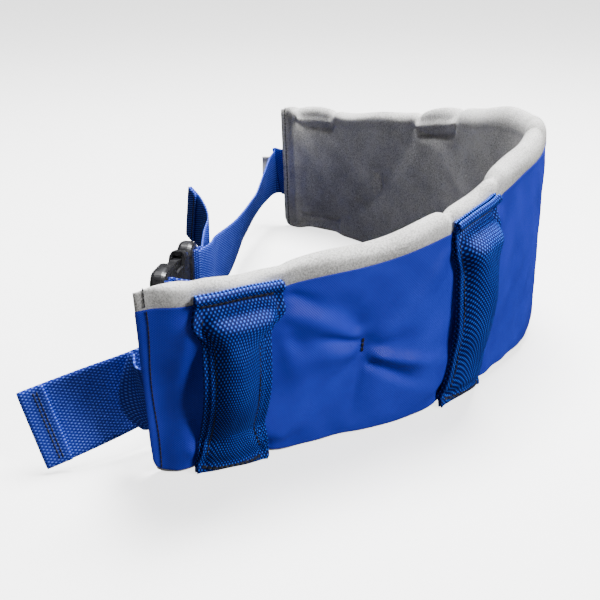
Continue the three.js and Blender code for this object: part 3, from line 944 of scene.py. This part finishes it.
def across_handle(number, x, z, waist):
    """Where along the belt a place across a handle lies: gathered at its top and drawn in below."""
    drawn = drawn_in(z)
    gather = TOP_GATHERS[number - 1] * smooth((z - 0.060) / 0.045)
    toward_end = -1 if number < 3 else 1
    flared = 0.05 * bell(z - (HANDLE_TOP - 0.018), 0.006)
    wide = (1 + flared - waist * drawn) * (1 - gather)
    middle = HANDLE_STARTS[number - 1] + WEBBING_WIDTH / 2 + toward_end * gather * WEBBING_WIDTH / 2
    s = middle + x * wide - 0.13 * WEBBING_WIDTH * waist * drawn
    return s + slant_at(s, z)


def front_s(number, x, z):
    return across_handle(number, x, z, TUBE_WAISTS[number - 1])


def handle_height(x, z, number):
    """The height of a place on a handle, with its ends a little off straight."""
    foot = smooth((0.02 - z) / 0.02)
    sag = 0.0010 * (1 - (x / (WEBBING_WIDTH / 2)) ** 2) * foot
    return np.maximum(z - sag + 0.0004 * np.sin(x * 160 + number), 0.0008)


def woven_length(points):
    """How far down the webbing each row of points lies, measured along every column."""
    steps = np.linalg.norm(np.diff(points, axis=0), axis=-1)
    down = np.cumsum(steps[::-1], axis=0)[::-1]
    return np.concatenate([down, np.zeros((1, points.shape[1]))], axis=0)


def make_handle(number):
    name = f"handle_{number}"
    z = handle_rows()[:, None]
    x = np.linspace(-1, 1, 41)[None, :] * WEBBING_WIDTH / 2
    z, x = np.broadcast_arrays(z, x)
    height = handle_height(x, z, number)

    def webbing(part, s, out):
        outer = on_belt(s, -(out + WEBBING * 0.95), height)
        inner = on_belt(s, -out, height)
        cloth = np.stack([x + 0.1, woven_length(outer)], axis=-1)
        return slab(f"{name}_{part}", outer, inner, cloth)

    rear_s = across_handle(number, x, z, REAR_WAIST)
    rear = webbing("rear", rear_s, rear_surface(number, x, z))
    finish_piece(rear, WEB, "belt", [name + "_rear_webbing"])
    wobble = 0.0004 * np.sin(z * 140 + x * 60 + number) * free_bow(z)
    front = webbing("front", front_s(number, x, z), front_surface(number, x, z) + wobble)
    finish_piece(front, WEB, "belt", [name + "_front_webbing", name + "_pad"])

    def row_of(xs, zs):
        xs, zs = np.broadcast_arrays(np.asarray(xs, float), np.asarray(zs, float))
        out = front_surface(number, xs, zs) + WEBBING + 0.0001
        up = handle_height(xs, zs, number)
        s = front_s(number, xs, zs)
        points = on_belt(s, -out, up)
        return points, on_belt(s, -(out + 0.002), up) - points

    across = np.linspace(-0.0225, 0.0200, 30)
    top_rows = [row_of(across, HANDLE_TOP - d) for d in (0.0060, 0.0067, 0.0074)]
    stitches(name + "_top_stitches", top_rows, "belt", [name + "_top_stitch"])
    foot_rows = [row_of(across, HANDLE_FOOT + d) for d in (0.0040, 0.0050)]
    stitches(name + "_foot_stitches", foot_rows, "belt", [name + "_foot_stitch"])
    up = np.linspace(0.014, 0.114, 60)
    edge = WEBBING_WIDTH / 2 - FLANGE + 0.0006
    side_rows = [row_of(np.full(60, side * edge), up) for side in (-1, 1)]
    stitches(name + "_side_stitches", side_rows, "belt")


# ---- Straps ----

def root(s, z, turn):
    """Where a strap is sewn in between the cover and the lining, at a length along the belt."""
    p = on_belt(s, BELT_THICKNESS / 2, z / stretch_at(s)) - PLAN_SHIFT
    return (*(float(v) for v in p), turn * math.degrees(float(lean_at(s))))


STRAP_ROOT = 0.012
ROOT_BELLY = np.array([-0.0110, -0.0015, -0.001])
NEAR_STRAP = [
    root(STRAP_ROOT, 0.054, -1),
    root(0.0, 0.054, -1),
    (-0.1070, -0.2410, 0.0535, -6),
    (-0.1095, -0.2365, 0.0525, -4),
    (-0.1075, -0.2310, 0.0515, -2),
    (-0.1010, -0.2245, 0.0500, 0),
    (-0.084, -0.213, 0.0475, 0),
    (-0.072, -0.178, 0.046, 0),
    (-0.072, -0.130, 0.045, 0),
    (-0.086, -0.101, 0.044, 0),
    (-0.1044, -0.0924, 0.044, 0),
]
NEAR_TAIL = [
    (-0.1072, -0.0987, 0.044, 0),
    (-0.095, -0.107, 0.045, 0),
    (-0.085, -0.130, 0.047, 0),
    (-0.084, -0.165, 0.0485, 0),
    (-0.092, -0.194, 0.048, 0),
    (-0.112, -0.212, 0.043, 4),
    (-0.144, -0.228, 0.035, 14),
    (-0.176, -0.239, 0.0256, 20),
]
FAR_STRAP = [
    root(BELT_LENGTH - STRAP_ROOT, 0.062, 1),
    root(BELT_LENGTH, 0.062, 1),
    (-0.037, 0.249, 0.061, -4),
    (-0.046, 0.225, 0.058, -8),
    (-0.053, 0.185, 0.054, -14),
    (-0.061, 0.130, 0.047, -18),
    (-0.072, 0.060, 0.042, -8),
    (-0.083, 0.010, 0.043, 0),
    (-0.086, -0.014, 0.044, 0),
    (-0.0925, -0.0285, 0.044, 0),
]
FAR_TAIL = [
    (-0.0915, -0.0205, 0.044, 0),
    (-0.093, 0.014, 0.045, 0),
    (-0.092, 0.042, 0.050, 0),
    (-0.100, 0.069, 0.057, 0),
    (-0.114, 0.095, 0.064, 0),
]


def curve_point(points, t):
    """A place on the smooth curve through points, at t from 0 to 1."""
    reach = min(max(t, 0.0), 1.0) * (len(points) - 1)
    knot = min(int(reach), len(points) - 2)
    u = reach - knot
    p1, p2 = points[knot], points[knot + 1]
    p0 = points[knot - 1] if knot > 0 else 2 * p1 - p2
    p3 = points[knot + 2] if knot + 2 < len(points) else 2 * p2 - p1
    pairs = ((p0, p1), (p1, p2), (p2, p3))
    d0, d1, d2 = (max(np.linalg.norm(b - a), 1e-6) ** 0.5 for a, b in pairs)
    t1 = ((p1 - p0) / d0 - (p2 - p0) / (d0 + d1) + (p2 - p1) / d1) * d1
    t2 = ((p2 - p1) / d1 - (p3 - p1) / (d1 + d2) + (p3 - p2) / d2) * d1
    a, b = 2 * (p1 - p2) + t1 + t2, -3 * (p1 - p2) - 2 * t1 - t2
    return ((a * u + b) * u + t1) * u + p1


def knot_at(route, index):
    return np.array(route[index][:3]) + PLAN_SHIFT


def route_frames(route, steps):
    """Points along a strap, with the directions across its width and through its thickness."""
    points = np.array([r[:3] for r in route]) + PLAN_SHIFT
    tilts = [r[3] for r in route]
    rows = []
    for t in np.linspace(0, 1, steps):
        at = curve_point(points, t)
        along = unit(curve_point(points, t + 1e-3) - curve_point(points, t - 1e-3))
        tilt = math.radians(np.interp(t, np.linspace(0, 1, len(tilts)), tilts))
        up = unit(np.array([0, 0, 1.0]) - along * along[2])
        turned = up * math.cos(tilt) + np.cross(along, up) * math.sin(tilt)
        rows.append((at, turned, np.cross(turned, along)))
    return rows


def ribbon(name, rows, belly=0.0):
    """Flat webbing on a row of frames, a little thinner at its edges. belly is how far its middle
    stands out past its edges, as a vector for each row."""
    across = np.linspace(-0.5, 0.5, 21) * WEBBING_WIDTH
    thin = WEBBING / 2 * (1 - 0.25 * (np.abs(across) / (WEBBING_WIDTH / 2)) ** 8)
    at = np.array([r[0] for r in rows])
    up = np.array([r[1] for r in rows])
    side = np.array([r[2] for r in rows])
    share = across / (WEBBING_WIDTH / 2)
    full = (1 - share**2) * (1 - 0.35 * share)
    bulge = np.broadcast_to(belly, (len(rows), 3))[:, None] * full[None, :, None]
    middle = at[:, None] + up[:, None] * across[None, :, None] + bulge
    front = middle + side[:, None] * thin[None, :, None]
    back = middle - side[:, None] * thin[None, :, None]
    run = run_along(at)
    cloth = np.stack(np.broadcast_arrays(across[None, :] + 0.1, run[:, None]), axis=-1)
    return slab(name, front, back, cloth)


BUCKLE_AT = np.array([-0.109, -0.058, 0.044]) + PLAN_SHIFT
BUCKLE_HEADING = math.radians(79)
PULL = np.array([math.cos(BUCKLE_HEADING), math.sin(BUCKLE_HEADING), 0])
WEARER = np.array([math.sin(BUCKLE_HEADING), -math.cos(BUCKLE_HEADING), 0])
UP = np.array([0, 0, 1.0])
MALE_END = 0.0868
BAR_IN = 0.0078
BAR = 0.0044
SLOT = 0.0034
BAR_FRONT = 0.0030
BAR_CLEARANCE = 0.0003
LOOP_BEND = 0.0022
LOOP_LEGS = (0.0105, 0.0090)


def in_buckle(pull, rise, wearer):
    """A place in the buckle's frame: along the pull from its near end, up, and to the wearer."""
    return BUCKLE_AT + PULL * (pull - MALE_END / 2) + UP * rise + WEARER * wearer


def loop_frames(bar, inner_side):
    """Frames of the webbing in at one slot, round the bar, and out of the other."""
    reach = (BAR + SLOT) / 2
    out = BAR_FRONT + BAR_CLEARANCE + WEBBING / 2
    bend = [(reach, LOOP_BEND - out)]
    for turn in np.radians([18, 36, 54, 72]):
        inward, down = LOOP_BEND * (1 - math.cos(turn)), LOOP_BEND * (1 - math.sin(turn))
        bend.append((reach - inward, down - out))
    bend.append((reach - LOOP_BEND, -out))
    other_bend = [(-a, b) for a, b in reversed(bend)]
    path = [(reach, LOOP_LEGS[0])] + bend + other_bend + [(-reach, LOOP_LEGS[1])]
    points = [in_buckle(bar + inner_side * a, 0, b) for a, b in path]
    rows = []
    for i, at in enumerate(points):
        along = unit(points[min(i + 1, len(points) - 1)] - points[max(i - 1, 0)])
        rows.append((at, UP, np.cross(UP, along)))
    return rows


def sew_hem(name, rows, at):
    """Two rows of stitches across a folded hem, on both of its faces."""
    lines = []
    across = np.linspace(-0.0230, 0.0230, 24)
    for index in (at, at + 1):
        point, up, side = rows[index]
        for face, off in ((1, WEBBING * 1.52), (-1, WEBBING * 0.5)):
            points = point + up * across[:, None] + side * face * (off + 0.0002)
            lines.append((points, np.tile(side * face, (24, 1))))
    return stitches(name, lines, None)


def make_near_strap():
    rows = route_frames(NEAR_STRAP, 120)
    fold = knot_at(NEAR_STRAP, 3)
    belly = [ROOT_BELLY * float(bell(np.linalg.norm(at - fold), 0.009)) for at, _, _ in rows]
    strap = ribbon("near_strap_webbing", rows, np.array(belly))
    finish_piece(strap, LIGHTENED_STRAP_WEB, "belt", ["near_strap"])
    loop = ribbon("near_loop", loop_frames(BAR_IN, 1))
    finish_piece(loop, LIGHTENED_STRAP_WEB, "belt", ["near_strap_loop"])


def hem_rows(rows, length):
    """The last stretch of a strap, folded back on itself as a hem, and where it starts."""
    run = run_along([r[0] for r in rows])
    first = int(np.searchsorted(run, run[-1] - length))
    hem = []
    for index in range(first, len(rows)):
        at, up, side = rows[index]
        lip = 0.0010 * float(bell(run[index] - run[first], 0.0020))
        hem.append((at + side * (WEBBING * 1.02 + lip), up, side))
    return hem, first


def make_tail(tail, route):
    """A strap's loose tail with its folded hem, and the stitches across the hem."""
    name = tail + "_webbing"
    rows = route_frames(route, 110)
    hem, first = hem_rows(rows, HEM)
    piece = joined(name, [ribbon(name, rows), ribbon(name + "_flap", hem)])
    finish_piece(piece, LIGHTENED_STRAP_WEB, None, [tail, tail + "_run"])
    seam = sew_hem(name + "_stitches", rows, first + 2)
    for obj in (piece, seam):
        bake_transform(obj)


def make_far_strap():
    rows = route_frames(FAR_STRAP, 110)
    strap = ribbon("far_strap_webbing", rows)
    finish_piece(strap, LIGHTENED_STRAP_WEB, None, ["far_strap"])
    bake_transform(strap)
    loop = ribbon("far_loop", loop_frames(MALE_END - BAR_IN, -1))
    finish_piece(loop, LIGHTENED_STRAP_WEB, "buckle_male", ["far_strap_loop"])


# ---- Buckle and label ----

def make_buckle():
    """The moulded parts keep their CAD shape, with their edges rounded."""
    for part in ("female_body", "male_body", "prong_upper", "prong_lower"):
        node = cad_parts["buckle_" + part]
        node.data.materials.clear()
        node.data.materials.append(PLASTIC)
        bevel = node.modifiers.new("Edges", "BEVEL")
        bevel.width = 0.0005
        bevel.segments = 2
        bevel.limit_method = "ANGLE"
        bevel.angle_limit = math.radians(35)


def make_label():
    low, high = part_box("care_label")
    rows, columns = 13, 11
    x = np.linspace(high.x, low.x, columns)[None, :]
    z = np.linspace(low.z, high.z, rows)[:, None]
    x, z = np.broadcast_arrays(x, z)
    share = (high.x - x) / (high.x - low.x)
    middle = (low.y + high.y) / 2
    y = middle + 0.0022 * np.sin(share * 2.4) * share + 0.0006 * np.sin(z * 300) * share
    thick = 0.00015
    outer = np.stack([x, y - thick, z], axis=-1)
    inner = np.stack([x, y + thick, z], axis=-1)
    cloth = np.stack([x - low.x, z - low.z], axis=-1)
    obj = slab("label_satin", outer, inner, cloth)
    finish_piece(obj, LABEL, "label", ["care_label"])


# ---- Camera, floor and light ----

CAMERA_AT = (-0.0117, -0.7378, 0.3216)
CAMERA_DOWN = math.radians(22.45)
CAMERA_LENS = 56.8


def add_camera():
    data = bpy.data.cameras.new("camera")
    camera = new_object("camera", data)
    camera.location = CAMERA_AT
    camera.rotation_euler = (math.pi / 2 - CAMERA_DOWN, 0, 0)
    data.sensor_width = 36
    data.lens = CAMERA_LENS
    data.clip_start = 0.02
    data.clip_end = 50
    bpy.context.scene.camera = camera


def add_floor():
    """A round pale floor whose far rim curves up, so that it fills the view from every side."""
    rings, around, reach, rise = 24, 96, 8.0, 5.0
    share = np.linspace(0, 1, rings)[:, None]
    angle = np.arange(around)[None, :] * 2 * math.pi / around
    radius = 0.01 + reach * share
    height = -0.0003 + rise * np.clip((share - 0.6) / 0.4, 0, 1) ** 2 + 0 * angle
    points = np.stack([radius * np.cos(angle), radius * np.sin(angle), height], axis=-1)
    faces = grid_faces(rings, around, closed=True) + [tuple(range(around))]
    floor = mesh_object("floor", points.reshape(-1, 3), faces)
    floor.data.materials.append(floor_material())
    floor.visible_diffuse = False
    floor.visible_glossy = False


def area_light(name, place, aim, size, power):
    data = bpy.data.lights.new(name, "AREA")
    data.shape = "RECTANGLE"
    data.size, data.size_y = size
    data.energy = power
    light = new_object(name, data)
    light.location = place
    way = Vector(aim) - Vector(place)
    light.rotation_euler = way.to_track_quat("-Z", "Y").to_euler()


def add_lights():
    area_light("overhead", (0.15, 0.28, 1.50), (0, 0, 0.08), (0.8, 0.7), 104)
    area_light("window", (1.20, -0.95, 0.85), (0, 0, 0.08), (0.5, 0.5), 28)
    area_light("low_front", (-0.50, -1.70, 0.14), (0, 0, 0.08), (1.4, 0.3), 3)
    world = bpy.data.worlds.new("studio")
    world.use_nodes = True
    background = world.node_tree.nodes["Background"]
    background.inputs["Color"].default_value = (1.0, 0.98, 0.94, 1)
    background.inputs["Strength"].default_value = 0.075
    bpy.context.scene.world = world


add_camera()
add_floor()
add_lights()
body = make_lining()
make_cover()
make_body_stitches()
for number in range(1, len(HANDLE_STARTS) + 1):
    make_handle(number)
make_near_strap()
make_tail("near_tail", NEAR_TAIL)
make_far_strap()
make_tail("far_tail", FAR_TAIL)
make_buckle()
make_label()
